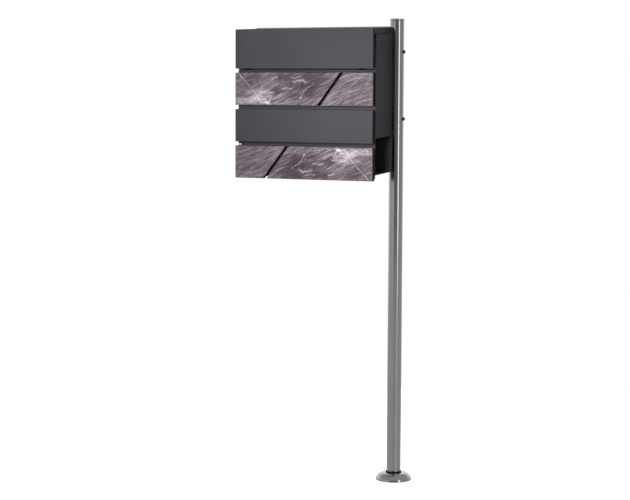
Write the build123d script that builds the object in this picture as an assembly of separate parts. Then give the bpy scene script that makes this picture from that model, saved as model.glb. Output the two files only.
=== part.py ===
"""Post-mounted letterbox: a sheet-steel box with a lifting lid, a side-hinged door and an open newspaper
compartment, carried by two angle brackets on a round floor post.

The origin is on the post's axis at the floor. +Z is up, the box's front faces -Y and +X is to its right.
All sizes are in millimetres.
"""

from build123d import *
import math
import os

os.makedirs("parts", exist_ok=True)

# Box
BOX_W = 370.0  # width over the side walls, and of every front band
BOX_D = 104.0  # from the front plates to the back wall's outer face
SHEET = 1.0  # sheet steel
LID_FRONT_H = 96.0
TILE_H = 80.0
BAND_GAP = 10.0  # between two neighbouring front bands
ROOF_RISE = 6.0  # how much higher the roof is at the back than at the front
FACE_BOTTOM = 752.0  # height of the lowest band's lower edge above the floor

# Front bands, which are trays that stand proud of the front plates
TILE_PROUD = 17.7
TRAY_DEPTH = 13.0
SLOT_W = 10.0  # width of the slanting slot, measured level
SLOT_LEAN = 61.0  # how far the slot leans sideways over a tile's height
SLOT_INSET = 112.0  # from the slot's middle to the nearer end of the tile

# Newspaper compartment and mail floor, as heights above the lowest band's lower edge
TROUGH_BOTTOM = 13.5
TROUGH_RISE = 5.0
TROUGH_LIP = 5.0  # the front plate's lower edge, above the lowest band's lower edge
MAIL_FLOOR = 102.0
MAIL_FLOOR_RISE = 5.6
FLANGE = 14.0  # width of the folded flanges that join sheets
HANGING_FLANGE = 9.0  # overlap of the mail floor's front flange behind the trough's front plate

# Lid
LID_CHEEK = 14.0  # how far the lid's sides reach down beside the box
REAR_STRIP = 10.0  # fixed strip of roof behind the lid hinge
CHEEK_GAP = 1.0
BUMPER_W, BUMPER_D, BUMPER_H = 10.0, 8.0, 2.0
BUMPER_INSET = 32.0
BUMPER_STEM_R = 2.0

# Hinges
KNUCKLE_R = 2.3
PIN_R = 1.2
PIN_PLAY = 0.05
KNUCKLE_GAP = 0.4
LEAF_T = 1.0
LEAF_W = 14.0
LEAF_PLAY = 0.5  # between a leaf or sheet and the other side's knuckles
DOOR_HINGE_L = 34.0
DOOR_HINGE_UP = 0.55  # the hinges' middle, as a share of the height of the tile in front
LID_KNUCKLES = 9
WELD_LAP = 0.5  # how far knuckle tongues reach into their leaves

# Door
DOOR_PLAY = 0.5  # behind the closed door
DOOR_EDGE_GAP = 2.0
DOOR_LIP = 10.0
DOOR_HEM = 7.0
DOOR_AXIS_IN = 0.3  # from the door's left edge to the knuckles
DOOR_AXIS_OUT = 0.4  # the hinge axis stands this much more than a knuckle in front of the leaf's back
DOOR_SWING_PLAY = 0.4  # between the swinging edge and the side wall's front edge
HINGE_NOTCH_PLAY = 1.0

# Lock
LOCK_RAIL_H = 60.0
LOCK_INSET = 38.0
BARREL_R = 8.0
BARREL_HEAD_R = 10.0
BARREL_HEAD_T = 2.5
PLUG_R = 5.5
PLUG_PLAY = 0.05
CAM_T = 2.0
CAM_W = 13.0
CAM_REACH = 31.0
CAM_SQUARE = 6.0
CAM_GAP = 0.4
CAM_PLAY = 1.6  # between the cam and the door's hem
CAM_SCREW_R = 1.5
CAM_SCREW_HEAD_R = 4.5
CAM_SCREW_HEAD_T = 2.0
PLUG_SINK = 0.4  # of the plug's face in the barrel's head
PLUG_END_PLAY = 0.1
LOCK_NUT_T = 4.0
LOCK_NUT_AF = 19.2
KEYWAY = (1.4, 7.0, 6.0)  # width, height and depth

# Fasteners
STANDOFF_R = 4.0
STANDOFF_INSET = 18.0
TILE_SCREW_R = 2.0
TILE_SCREW_PLAY = 0.2
TILE_SCREW_HEAD_T = 2.4
TILE_SCREW_SLOT = (4.8, 1.0, 1.0)  # length, width and depth
STANDOFF_FLOOR = 4.0  # solid end of a stud, welded to the tile
RIVET_R = 2.0
RIVET_HEAD_R = 3.6
RIVET_HEAD_T = 1.0
BOLT_R = 2.0
BOLT_HOLE_R = 2.5
BOLT_HEAD_AF = 7.0
BOLT_HEAD_T = 2.8
BOLT_END = 2.0  # thread that stands out of a nut
NUT_T = 3.2
WASHER_R = 4.5
WASHER_T = 0.8
BUTTON_HEAD_R = 3.8
BUTTON_HEAD_T = 2.2
BUTTON_SOCKET = (2.5, 1.3)  # across flats, and depth
HOLE_PLAY = 0.1  # around rivets, stems and the lock barrel
TOUCH = 0.05  # between a flat face and the round tube it bears on

# Post
POST_R = 17.5
POST_WALL = 1.5
POST_TOP = 1146.0
POST_SIDE_GAP = 4.0  # from the post's axis to the box's right side
POST_BACK_GAP = 1.5  # from the post to the box's back wall
CAP_EDGE = 4.0
CAP_DOME = 1.6
CAP_SEAM = 0.6
CAP_PLUG_L = 15.0
CAP_PLUG_PLAY = 0.1
BASE_R = 40.0
BASE_T = 5.0
ANCHOR_PCD = 60.0
ANCHOR_HOLE_R = 4.5
ANCHORS = 3
WELD = 4.0
ROSETTE_R = 45.0
ROSETTE_H = 17.0
ROSETTE_SHEET = 1.0
ROSETTE_RIM = 3.0
ROSETTE_LIFT = 0.3
ROSETTE_PLAY = 0.4
ROSETTE_BULGE = 0.3  # of the dome, as a share of its rise

# Brackets between the post and the box
BRACKET_T = 2.5
BRACKET_H = 40.0
BRACKET_W = 44.0
BRACKET_REACH = 12.0  # past the post's axis
BRACKET_DROP = 82.0  # from the post's top to the upper bolt
BRACKET_PITCH = 164.0
WALL_HOLE_INSET = 40.0
BRACKET_BEND = 2.0

# Places worked out from the sizes above
FACE_H = LID_FRONT_H + 3 * (BAND_GAP + TILE_H)
RIGHT = -POST_SIDE_GAP
LEFT = RIGHT - BOX_W
BACK = -POST_R - POST_BACK_GAP
PLATE = BACK - BOX_D  # front face of the front plates
FACE = PLATE - TILE_PROUD  # front face of the bands
TRAY_BACK = FACE + TRAY_DEPTH
LOWER_TILE = FACE_BOTTOM
MIDDLE_TILE = LOWER_TILE + TILE_H + BAND_GAP
UPPER_TILE = MIDDLE_TILE + TILE_H + BAND_GAP
LID_BOTTOM = UPPER_TILE + TILE_H + BAND_GAP
ROOF_FRONT = FACE_BOTTOM + FACE_H
DOOR_BOTTOM = MIDDLE_TILE - BAND_GAP + DOOR_EDGE_GAP + DOOR_EDGE_GAP
TROUGH_TOP = DOOR_BOTTOM - DOOR_EDGE_GAP
RAIL_BOTTOM = LID_BOTTOM - DOOR_EDGE_GAP
DOOR_TOP = RAIL_BOTTOM - DOOR_EDGE_GAP
RAIL_TOP = RAIL_BOTTOM + LOCK_RAIL_H

DOOR_AXIS_X = LEFT + KNUCKLE_R + DOOR_AXIS_IN
DOOR_AXIS_Y = PLATE + LEAF_T - KNUCKLE_R - DOOR_AXIS_OUT
DOOR_SWING_R = math.hypot(DOOR_AXIS_X - LEFT, PLATE + SHEET - DOOR_AXIS_Y)
WALL_FRONT = DOOR_AXIS_Y + DOOR_SWING_R + DOOR_SWING_PLAY  # front edge of the side walls
DOOR_INSET = DOOR_SWING_R + 4.0  # what lies behind the door's left end starts here

LID_AXIS_Y = BACK - REAR_STRIP
ROOF_SLOPE = ROOF_RISE / (BACK - FACE)
ROOF_TILT = math.degrees(math.atan(ROOF_SLOPE))
HINGE_EDGE = KNUCKLE_R + LEAF_PLAY  # from a hinge axis to the edges that must clear its knuckles

LOCK_X = RIGHT - LOCK_INSET
LOCK_Z = DOOR_TOP - DOOR_HEM + CAM_REACH
CAM_Y = PLATE + DOOR_LIP + SHEET + CAM_PLAY
BRACKET_HEIGHTS = (POST_TOP - BRACKET_DROP - BRACKET_PITCH, POST_TOP - BRACKET_DROP)
WALL_HOLES_RIGHT = RIGHT - WALL_HOLE_INSET
WALL_HOLES_LEFT = LEFT + WALL_HOLE_INSET
BRACKET_X = -POST_R - TOUCH  # face of the bracket that bears on the post


def roof_z(y):
    """Height of the roof's outer face at a depth."""
    return ROOF_FRONT + ROOF_SLOPE * (y - FACE)


def floor_z(y):
    """Height of the mail floor's underside at a depth."""
    return FACE_BOTTOM + MAIL_FLOOR + MAIL_FLOOR_RISE * (y - PLATE) / BOX_D


def trough_z(y):
    """Height of the newspaper trough's underside at a depth."""
    return FACE_BOTTOM + TROUGH_BOTTOM + TROUGH_RISE * (y - PLATE) / BOX_D


LID_AXIS_Z = roof_z(LID_AXIS_Y) - SHEET / 2 / math.cos(math.radians(ROOF_TILT))


# Shapes that several pieces share


def block(x0, x1, y0, y1, z0, z1):
    """A plain block between two corners."""
    middle = Pos((x0 + x1) / 2, (y0 + y1) / 2, (z0 + z1) / 2)
    return middle * Box(x1 - x0, y1 - y0, z1 - z0)


def rod(start, end, radius):
    """A round bar between two points."""
    way = Vector(*end) - Vector(*start)
    return extrude(Plane(origin=start, z_dir=way) * Circle(radius), amount=way.length)


def hex_bar(start, end, across_flats):
    """A hexagonal bar between two points."""
    way = Vector(*end) - Vector(*start)
    outline = RegularPolygon(across_flats / 2, 6, major_radius=False)
    return extrude(Plane(origin=start, z_dir=way) * outline, amount=way.length)


def side_plate(points, x0, x1):
    """An outline of (y, z) points carried along X."""
    outline = make_face(Polyline(*points, close=True))
    return extrude(Plane.YZ.offset(x0) * outline, amount=x1 - x0)


def folded_sheet(points, x0, x1, thickness=SHEET):
    """A sheet folded along X. Its one face follows the (y, z) points, and the other lies to their left."""
    ways = [Vector(b[0] - a[0], b[1] - a[1]).normalized() for a, b in zip(points, points[1:])]
    normals = [Vector(-way.Y, way.X) for way in ways]
    normals = [normals[0], *normals, normals[-1]]
    other = []
    for point, before, after in zip(points, normals, normals[1:]):
        shift = (before + after) * (thickness / (1 + before.dot(after)))
        other.append((point[0] + shift.X, point[1] + shift.Y))
    return side_plate([*points, *reversed(other)], x0, x1)


def tray(points):
    """A front band: a flat face of (x, z) points with returns folded back along all its edges."""
    outline = Plane.XZ.offset(-FACE) * make_face(Polyline(*points, close=True))
    inside = Plane.XZ.offset(-FACE - SHEET) * offset(
        make_face(Polyline(*points, close=True)), -SHEET, kind=Kind.INTERSECTION
    )
    return extrude(outline, amount=-TRAY_DEPTH) - extrude(inside, amount=-TRAY_DEPTH)


def group(pieces):
    """Separate solids kept in one node."""
    return Compound(children=list(pieces))


def save(piece, name):
    """Write one node."""
    export_step(piece, f"parts/{name}.step")


# Outlines and fixing points of the front bands


def slot_edges(middle):
    """X of a slanting slot's ends: bottom left, bottom right, top left and top right."""
    half, lean = SLOT_W / 2, SLOT_LEAN / 2
    return middle - lean - half, middle - lean + half, middle + lean - half, middle + lean + half


def left_tile(bottom, middle):
    """The tile to the left of a slanting slot."""
    low, _, high, _ = slot_edges(middle)
    return [(LEFT, bottom), (low, bottom), (high, bottom + TILE_H), (LEFT, bottom + TILE_H)]


def right_tile(bottom, middle):
    """The tile to the right of a slanting slot."""
    _, low, _, high = slot_edges(middle)
    return [(low, bottom), (RIGHT, bottom), (RIGHT, bottom + TILE_H), (high, bottom + TILE_H)]


def plain_tile(bottom):
    """A tile over the whole width."""
    return [(LEFT, bottom), (RIGHT, bottom), (RIGHT, bottom + TILE_H), (LEFT, bottom + TILE_H)]


UPPER_SLOT = RIGHT - SLOT_INSET
LOWER_SLOT = LEFT + SLOT_INSET
TILES = {
    "tile_upper_long": left_tile(UPPER_TILE, UPPER_SLOT),
    "tile_upper_short": right_tile(UPPER_TILE, UPPER_SLOT),
    "tile_middle": plain_tile(MIDDLE_TILE),
    "tile_lower_short": left_tile(LOWER_TILE, LOWER_SLOT),
    "tile_lower_long": right_tile(LOWER_TILE, LOWER_SLOT),
}


def fixing_points(name):
    """The four (x, z) places where a tile is fixed, set in from its corners."""
    low_left, low_right, high_right, high_left = TILES[name]
    places = []
    for share in (0.25, 0.85):
        left = low_left[0] + share * (high_left[0] - low_left[0]) + STANDOFF_INSET
        right = low_right[0] + share * (high_right[0] - low_right[0]) - STANDOFF_INSET
        height = low_left[1] + share * TILE_H
        places += [(left, height), (right, height)]
    return places


UPPER_FIXINGS = fixing_points("tile_upper_long") + fixing_points("tile_upper_short")
MIDDLE_FIXINGS = fixing_points("tile_middle")
LOWER_FIXINGS = fixing_points("tile_lower_short") + fixing_points("tile_lower_long")


def screw_holes(places):
    """Clearance holes for the tile screws through a front plate."""
    radius = TILE_SCREW_R + TILE_SCREW_PLAY
    return [rod((x, PLATE - 1, z), (x, PLATE + SHEET + 1, z), radius) for x, z in places]


def standoffs(places):
    """Round studs between a tile and its plate, each with a blind bore for its screw."""
    pieces = []
    for x, z in places:
        stud = rod((x, FACE + SHEET, z), (x, PLATE, z), STANDOFF_R)
        bore_end = FACE + SHEET + STANDOFF_FLOOR
        pieces.append(stud - rod((x, bore_end, z), (x, PLATE + 1, z), TILE_SCREW_R + TOUCH))
    return group(pieces)


def tile_screws(places):
    """Pan-head screws that hold the studs from behind the plate."""
    pieces = []
    seat, (length, width, depth) = PLATE + SHEET, TILE_SCREW_SLOT
    top = seat + TILE_SCREW_HEAD_T
    for x, z in places:
        shank = rod((x, FACE + SHEET + STANDOFF_FLOOR + 1, z), (x, seat, z), TILE_SCREW_R)
        head = rod((x, seat, z), (x, top, z), 2 * TILE_SCREW_R)
        recess = block(x - length / 2, x + length / 2, top - depth, top + 1, z - width / 2, z + width / 2)
        pieces.append(shank + head - recess)
    return group(pieces)


# Rivets, each with its hole: a place, the side its head faces, and what it goes through


def back_rivet_places():
    """Places on the back wall where the mail floor's and the trough's flanges are riveted."""
    columns = [LEFT + BOX_W * share for share in (0.1, 0.5, 0.8)]
    heights = (floor_z(BACK) + FLANGE * 0.6, trough_z(BACK) + FLANGE * 0.6)
    return [(x, z) for x in columns for z in heights]


def front_rivet_places():
    """Places where the trough's front plate is riveted to the mail floor's hanging flange."""
    height = TROUGH_TOP - HANGING_FLANGE / 2
    return [(LEFT + BOX_W * share, height) for share in (0.12, 0.5, 0.88)]


def rivet(x, z, y0, y1):
    """A rivet along Y through sheets from y0 to y1, with a flat head on each side."""
    shank = rod((x, y0, z), (x, y1, z), RIVET_R)
    outer = rod((x, y0 - RIVET_HEAD_T, z), (x, y0, z), RIVET_HEAD_R)
    inner = rod((x, y1, z), (x, y1 + RIVET_HEAD_T, z), RIVET_HEAD_R)
    return outer + shank + inner


def rivet_holes(places, y0, y1):
    """Holes for rivets along Y."""
    return [rod((x, y0 - 1, z), (x, y1 + 1, z), RIVET_R + HOLE_PLAY) for x, z in places]


FRONT_FLANGE = PLATE + SHEET + DOOR_PLAY  # front face of the mail floor's hanging flange


def body_rivets():
    """All rivets of the box."""
    back = [rivet(x, z, BACK - 2 * SHEET, BACK) for x, z in back_rivet_places()]
    front = [rivet(x, z, PLATE, FRONT_FLANGE + SHEET) for x, z in front_rivet_places()]
    return group(back + front)


# Post


def post_tube():
    """The tube, cross-drilled for the two bracket bolts."""
    tube = rod((0, 0, BASE_T), (0, 0, POST_TOP - CAP_EDGE - CAP_DOME - CAP_SEAM), POST_R)
    tube -= rod((0, 0, 0), (0, 0, POST_TOP), POST_R - POST_WALL)
    holes = [rod((-POST_R - 1, 0, z), (POST_R + 1, 0, z), BOLT_HOLE_R) for z in BRACKET_HEIGHTS]
    return tube - holes


def post_cap():
    """A domed cap on a plug that fits the tube's bore."""
    under = POST_TOP - CAP_DOME - CAP_EDGE
    plug_r = POST_R - POST_WALL - CAP_PLUG_PLAY
    edge = Line((POST_R, under), (POST_R, POST_TOP - CAP_DOME))
    dome_r = (POST_R**2 + CAP_DOME**2) / (2 * CAP_DOME)
    share = 0.5
    mid = (POST_R * share, POST_TOP - dome_r + math.sqrt(dome_r**2 - (POST_R * share) ** 2))
    dome = ThreePointArc(edge @ 1, mid, (0, POST_TOP))
    rest = Polyline(
        dome @ 1, (0, under - CAP_PLUG_L), (plug_r, under - CAP_PLUG_L), (plug_r, under), edge @ 0
    )
    return revolve(Plane.XZ * make_face(edge + dome + rest), Axis.Z)


def base_plate():
    """The round floor plate, with a ring of anchor holes."""
    plate = rod((0, 0, 0), (0, 0, BASE_T), BASE_R)
    ring = PolarLocations(ANCHOR_PCD / 2, ANCHORS, start_angle=90)
    return plate - [place * Cylinder(ANCHOR_HOLE_R, 4 * BASE_T) for place in ring]


def base_weld():
    """The fillet weld between the tube and its plate."""
    corners = [(POST_R, BASE_T), (POST_R + WELD, BASE_T), (POST_R, BASE_T + WELD)]
    return revolve(Plane.XZ * make_face(Polyline(*corners, close=True)), Axis.Z)


def base_rosette():
    """A thin domed cover that slides on the post and hides the base plate."""
    neck = POST_R + ROSETTE_PLAY
    bulge = ROSETTE_BULGE * (ROSETTE_H - ROSETTE_RIM)
    top, rim = ROSETTE_LIFT + ROSETTE_H, ROSETTE_LIFT + ROSETTE_RIM
    inner_r = ROSETTE_R - ROSETTE_SHEET
    outer_mid = ((ROSETTE_R + neck) / 2 + bulge, (top + rim) / 2 + bulge)
    inner_mid = (outer_mid[0] - 0.5 * ROSETTE_SHEET, outer_mid[1] - ROSETTE_SHEET)
    outer = ThreePointArc((ROSETTE_R, rim), outer_mid, (neck, top))
    inner = ThreePointArc((neck, top - ROSETTE_SHEET), inner_mid, (inner_r, rim))
    joins = [
        Line(outer @ 1, inner @ 0),
        Polyline(inner @ 1, (inner_r, ROSETTE_LIFT), (ROSETTE_R, ROSETTE_LIFT), outer @ 0),
    ]
    return revolve(Plane.XZ * make_face(outer + inner + joins), Axis.Z)


# Brackets and their fasteners


def bracket(height):
    """A steel angle: one leg bears on the post's side, the other on the box's back wall."""
    z0, z1 = height - BRACKET_H / 2, height + BRACKET_H / 2
    post_leg = block(BRACKET_X - BRACKET_T, BRACKET_X, BACK, BRACKET_REACH, z0, z1)
    box_leg = block(BRACKET_X - BRACKET_W, BRACKET_X, BACK, BACK + BRACKET_T, z0, z1)
    angle = post_leg + box_leg
    outer = angle.edges().filter_by(Axis.Z).sort_by_distance((BRACKET_X, BACK, height))[0]
    angle = fillet(outer, BRACKET_BEND)
    angle -= rod((BRACKET_X - BRACKET_T - 1, 0, height), (BRACKET_X + 1, 0, height), BOLT_HOLE_R)
    hole_x = WALL_HOLES_RIGHT
    return angle - rod((hole_x, BACK - 1, height), (hole_x, BACK + BRACKET_T + 1, height), BOLT_HOLE_R)


def ring_along(start, end, outer, inner):
    """A washer or plain ring between two points."""
    return rod(start, end, outer) - rod(start, end, inner)


POST_BOLT_HEAD = POST_R + TOUCH + WASHER_T
POST_BOLT_NUT = BRACKET_X - BRACKET_T - WASHER_T


def post_bolts():
    """Hexagon bolts through the post, with their heads on the side away from the box."""
    pieces = []
    for z in BRACKET_HEIGHTS:
        head = hex_bar((POST_BOLT_HEAD, 0, z), (POST_BOLT_HEAD + BOLT_HEAD_T, 0, z), BOLT_HEAD_AF)
        pieces.append(head + rod((POST_BOLT_NUT - NUT_T - BOLT_END, 0, z), (POST_BOLT_HEAD, 0, z), BOLT_R))
    return group(pieces)


def post_bolt_washers():
    """A washer under each bolt head and each nut."""
    pieces = []
    for z in BRACKET_HEIGHTS:
        for x in (POST_BOLT_HEAD - WASHER_T, POST_BOLT_NUT):
            pieces.append(ring_along((x, 0, z), (x + WASHER_T, 0, z), WASHER_R, BOLT_R + HOLE_PLAY))
    return group(pieces)


def post_bolt_nuts():
    """Hexagon nuts on the bracket's side of the post."""
    pieces = []
    for z in BRACKET_HEIGHTS:
        nut = hex_bar((POST_BOLT_NUT - NUT_T, 0, z), (POST_BOLT_NUT, 0, z), BOLT_HEAD_AF)
        pieces.append(nut - rod((POST_BOLT_NUT - 9, 0, z), (POST_BOLT_NUT + 1, 0, z), BOLT_R + TOUCH))
    return group(pieces)


SCREW_HEAD_Y = BACK - SHEET - WASHER_T
SCREW_NUT_Y = BACK + BRACKET_T


def bracket_screws():
    """Screws from inside the box through its back wall and the bracket."""
    pieces = []
    x, top, (socket, depth) = WALL_HOLES_RIGHT, SCREW_HEAD_Y - BUTTON_HEAD_T, BUTTON_SOCKET
    for z in BRACKET_HEIGHTS:
        head = rod((x, top, z), (x, SCREW_HEAD_Y, z), BUTTON_HEAD_R)
        recess = hex_bar((x, top - 1, z), (x, top + depth, z), socket)
        shank = rod((x, SCREW_HEAD_Y, z), (x, SCREW_NUT_Y + NUT_T + BOLT_END, z), BOLT_R)
        pieces.append(head + shank - recess)
    return group(pieces)


def bracket_washers():
    """Washers under the screw heads."""
    x = WALL_HOLES_RIGHT
    ends = [((x, SCREW_HEAD_Y, z), (x, SCREW_HEAD_Y + WASHER_T, z)) for z in BRACKET_HEIGHTS]
    return group(ring_along(start, end, WASHER_R, BOLT_R + HOLE_PLAY) for start, end in ends)


def bracket_nuts():
    """Nuts on the bracket's outer leg."""
    pieces = []
    x = WALL_HOLES_RIGHT
    for z in BRACKET_HEIGHTS:
        nut = hex_bar((x, SCREW_NUT_Y, z), (x, SCREW_NUT_Y + NUT_T, z), BOLT_HEAD_AF)
        pieces.append(nut - rod((x, SCREW_NUT_Y - 1, z), (x, SCREW_NUT_Y + 9, z), BOLT_R + TOUCH))
    return group(pieces)


# Box


def body_shell():
    """Back wall with its forward-folded roof strip, and both side walls."""
    strip_front = LID_AXIS_Y + HINGE_EDGE
    wall_bottom = trough_z(BACK)
    shell = folded_sheet(
        [(BACK, wall_bottom), (BACK, roof_z(BACK)), (strip_front, roof_z(strip_front))], LEFT, RIGHT
    )
    cheek_y = LID_AXIS_Y + CHEEK_GAP
    top_drop = LID_CHEEK + CHEEK_GAP
    outline = [
        (WALL_FRONT, floor_z(WALL_FRONT)),
        (BACK, floor_z(BACK)),
        (BACK, roof_z(BACK)),
        (cheek_y, roof_z(cheek_y)),
        (cheek_y, roof_z(cheek_y) - top_drop),
        (WALL_FRONT, roof_z(WALL_FRONT) - top_drop),
    ]
    shell += side_plate(outline, LEFT, LEFT + SHEET)
    shell += side_plate(outline, RIGHT - SHEET, RIGHT)
    holes = rivet_holes(back_rivet_places(), BACK - SHEET, BACK)
    for x in (WALL_HOLES_LEFT, WALL_HOLES_RIGHT):
        for z in BRACKET_HEIGHTS:
            holes.append(rod((x, BACK - SHEET - 1, z), (x, BACK + 1, z), BOLT_HOLE_R))
    return shell - holes


def mail_floor():
    """Mail compartment floor, with a hanging front flange and upright flanges at the back and sides."""
    rear, front = BACK - SHEET, FRONT_FLANGE + SHEET
    inner_left, inner_right = LEFT + SHEET, RIGHT - SHEET
    floor = folded_sheet(
        [
            (front, TROUGH_TOP - HANGING_FLANGE),
            (front, floor_z(front)),
            (rear, floor_z(rear)),
            (rear, floor_z(rear) + FLANGE),
        ],
        inner_left,
        inner_right,
    )
    flange_front = DOOR_AXIS_Y + LEAF_W + 4
    outline = [
        (flange_front, floor_z(flange_front)),
        (rear, floor_z(rear)),
        (rear, floor_z(rear) + FLANGE),
        (flange_front, floor_z(flange_front) + FLANGE),
    ]
    floor += side_plate(outline, inner_left, inner_left + SHEET)
    floor += side_plate(outline, inner_right - SHEET, inner_right)
    swing = block(LEFT, LEFT + DOOR_INSET, PLATE, WALL_FRONT + 2, FACE_BOTTOM, floor_z(rear) + FLANGE)
    holes = rivet_holes(back_rivet_places(), rear - SHEET, rear)
    holes += rivet_holes(front_rivet_places(), FRONT_FLANGE, front)
    return floor - swing - holes


def newspaper_trough():
    """Front plate, with a lip below the fold, and bottom of the open-ended newspaper compartment."""
    rear = BACK - SHEET
    trough = folded_sheet(
        [
            (PLATE, TROUGH_TOP),
            (PLATE, trough_z(PLATE)),
            (rear, trough_z(rear)),
            (rear, trough_z(rear) + FLANGE),
        ],
        LEFT,
        RIGHT,
    )
    trough += block(LEFT, RIGHT, PLATE, PLATE + SHEET, FACE_BOTTOM + TROUGH_LIP, trough_z(PLATE) + SHEET)
    holes = rivet_holes(back_rivet_places(), rear - SHEET, rear)
    holes += rivet_holes(front_rivet_places(), PLATE, PLATE + SHEET)
    return trough - holes - screw_holes(LOWER_FIXINGS)


def lock_rail():
    """Fixed rail behind the lid's front, folded back along its top and welded to both side walls."""
    rail = block(LEFT, RIGHT, PLATE, PLATE + SHEET, RAIL_BOTTOM, RAIL_TOP)
    inner_left, inner_right = LEFT + SHEET, RIGHT - SHEET
    rail += block(inner_left, inner_right, PLATE, PLATE + FLANGE, RAIL_TOP - SHEET, RAIL_TOP)
    rail += block(inner_left, inner_left + SHEET, PLATE, PLATE + FLANGE, RAIL_BOTTOM, RAIL_TOP)
    rail += block(inner_right - SHEET, inner_right, PLATE, PLATE + FLANGE, RAIL_BOTTOM, RAIL_TOP)
    swing = block(LEFT, LEFT + DOOR_INSET, PLATE + SHEET, PLATE + FLANGE, RAIL_BOTTOM - 1, RAIL_BOTTOM + 2)
    lock_hole = rod((LOCK_X, PLATE - 1, LOCK_Z), (LOCK_X, PLATE + SHEET + 1, LOCK_Z), BARREL_R + HOLE_PLAY)
    return rail - swing - lock_hole


# Lid


def bumper_places():
    """Centres of the two rubber bumpers along the lid's lower return."""
    y = TRAY_BACK - BUMPER_D / 2 - 1
    return [(LEFT + BUMPER_INSET, y), (RIGHT - BUMPER_INSET, y)]


def lid():
    """Roof, front and lower return in one folded sheet, with a cheek at each side."""
    rear = LID_AXIS_Y - HINGE_EDGE
    cover = folded_sheet(
        [(rear, roof_z(rear)), (FACE, ROOF_FRONT), (FACE, LID_BOTTOM), (TRAY_BACK, LID_BOTTOM)], LEFT, RIGHT
    )
    cheek = [
        (FACE, LID_BOTTOM),
        (TRAY_BACK, LID_BOTTOM),
        (TRAY_BACK, roof_z(TRAY_BACK) - LID_CHEEK),
        (LID_AXIS_Y, roof_z(LID_AXIS_Y) - LID_CHEEK),
        (LID_AXIS_Y, roof_z(LID_AXIS_Y)),
        (FACE, ROOF_FRONT),
    ]
    cover += side_plate(cheek, LEFT, LEFT + SHEET)
    cover += side_plate(cheek, RIGHT - SHEET, RIGHT)
    stem_r = BUMPER_STEM_R + HOLE_PLAY
    return cover - [rod((x, y, LID_BOTTOM - 1), (x, y, LID_BOTTOM + 3), stem_r) for x, y in bumper_places()]


def lid_bumpers():
    """Rubber pads pushed into the lid's lower return by their stems."""
    pieces = []
    for x, y in bumper_places():
        pad = block(x - BUMPER_W / 2, x + BUMPER_W / 2, y - BUMPER_D / 2, y + BUMPER_D / 2,
                    LID_BOTTOM - BUMPER_H, LID_BOTTOM)
        stem = rod((x, y, LID_BOTTOM), (x, y, LID_BOTTOM + SHEET), BUMPER_STEM_R)
        bulb = rod((x, y, LID_BOTTOM + SHEET), (x, y, LID_BOTTOM + SHEET + 1.5), BUMPER_STEM_R + 1)
        pieces.append(pad + stem + bulb)
    return group(pieces)


def spans(start, end, count):
    """Knuckle spans along a hinge with a gap between neighbours."""
    length = (end - start - (count - 1) * KNUCKLE_GAP) / count
    step = length + KNUCKLE_GAP
    return [(start + i * step, start + i * step + length) for i in range(count)]


LID_HINGE_ENDS = (LEFT + SHEET + 2, RIGHT - SHEET - 2)
LID_SPANS = spans(*LID_HINGE_ENDS, LID_KNUCKLES)


def lid_hinge_leaf(side, own):
    """One leaf of the lid's long hinge, under the roof sheet: side is +1 behind the axis, -1 in front."""
    x0, x1 = LID_HINGE_ENDS
    z0, z1 = -SHEET / 2 - LEAF_T, -SHEET / 2
    reach = min(LEAF_W, REAR_STRIP - SHEET - 0.5)
    edge, far = sorted((side * HINGE_EDGE, side * reach))
    leaf = block(x0, x1, edge, far, z0, z1)
    for a, b in own:
        tongue = sorted((0, side * (HINGE_EDGE + WELD_LAP)))
        leaf += block(a, b, *tongue, z0, z1) + rod((a, 0, 0), (b, 0, 0), KNUCKLE_R)
    leaf -= rod((x0 - 1, 0, 0), (x1 + 1, 0, 0), PIN_R + PIN_PLAY)
    return Pos(0, LID_AXIS_Y, LID_AXIS_Z) * Rot(ROOF_TILT, 0, 0) * leaf


def lid_hinge_pin():
    """The long pin of the lid's hinge."""
    x0, x1 = LID_HINGE_ENDS
    return rod((x0 - 0.5, LID_AXIS_Y, LID_AXIS_Z), (x1 + 0.5, LID_AXIS_Y, LID_AXIS_Z), PIN_R)


# Door


def door_hinge_ends(tile_bottom):
    """Lower and upper end of the hinge behind one tile."""
    middle = tile_bottom + TILE_H * DOOR_HINGE_UP
    return middle - DOOR_HINGE_L / 2, middle + DOOR_HINGE_L / 2


def door_panel():
    """Door plate with a folded lip and hem along its top, a folded right edge and notches for the hinges."""
    door = block(LEFT, RIGHT, PLATE, PLATE + SHEET, DOOR_BOTTOM, DOOR_TOP)
    lip_left, lip_right = LEFT + DOOR_INSET, RIGHT - SHEET - 2
    lip_back = PLATE + SHEET + DOOR_LIP
    door += block(lip_left, lip_right, PLATE, lip_back, DOOR_TOP - SHEET, DOOR_TOP)
    door += block(lip_left, lip_right, lip_back - SHEET, lip_back, DOOR_TOP - DOOR_HEM, DOOR_TOP)
    edge_bottom = floor_z(BACK) + FLANGE + 2
    door += block(lip_right - SHEET, lip_right, PLATE, lip_back, edge_bottom, DOOR_TOP)
    for tile in (MIDDLE_TILE, UPPER_TILE):
        low, high = door_hinge_ends(tile)
        low, high = low - HINGE_NOTCH_PLAY, high + HINGE_NOTCH_PLAY
        door -= block(LEFT - 1, DOOR_AXIS_X + HINGE_EDGE, PLATE - 1, PLATE + SHEET + 1, low, high)
    return door - screw_holes(MIDDLE_FIXINGS + UPPER_FIXINGS)


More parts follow.
